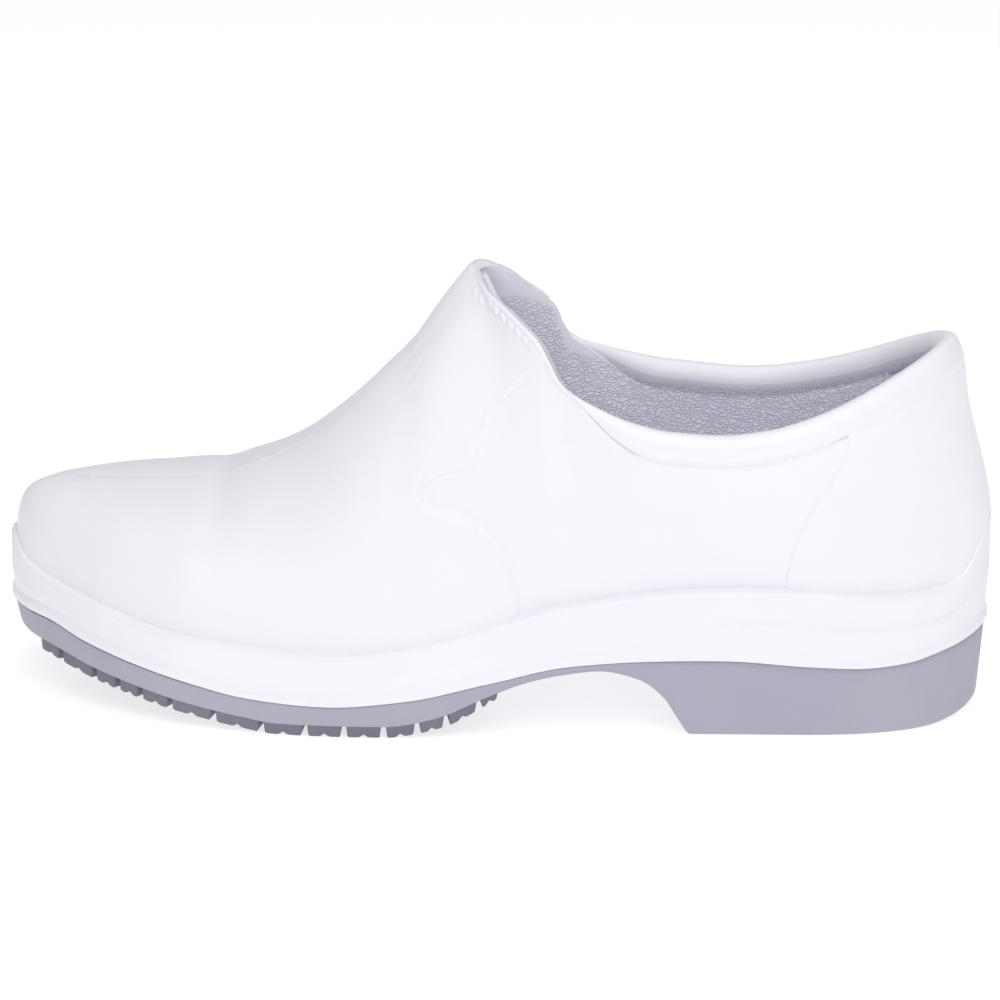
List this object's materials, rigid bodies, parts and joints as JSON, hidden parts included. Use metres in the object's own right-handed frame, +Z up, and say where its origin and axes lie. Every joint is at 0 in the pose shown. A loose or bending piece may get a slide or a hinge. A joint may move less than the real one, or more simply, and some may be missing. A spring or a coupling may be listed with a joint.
{
  "type": "safety shoe",
  "caption": "Left slip-on safety shoe with a one-piece moulded upper, padded collar roll and side band on a lugged rubber sole with a block heel.",
  "frame": {"origin": "on the ground under the middle of the shoe's box", "axes": "+X from toe to heel, +Y towards the inner side of the foot, +Z up"},
  "size_m": [0.286, 0.1016, 0.1286],
  "materials": {
    "upper": "satin moulded EVA foam, white",
    "outsole": "matt moulded rubber, grey",
    "insole": "textile-faced foam, pale grey"
  },
  "bodies": {
    "root": {"upper": "upper", "outsole": "outsole", "insole": "insole"}
  },
  "joints": []
}
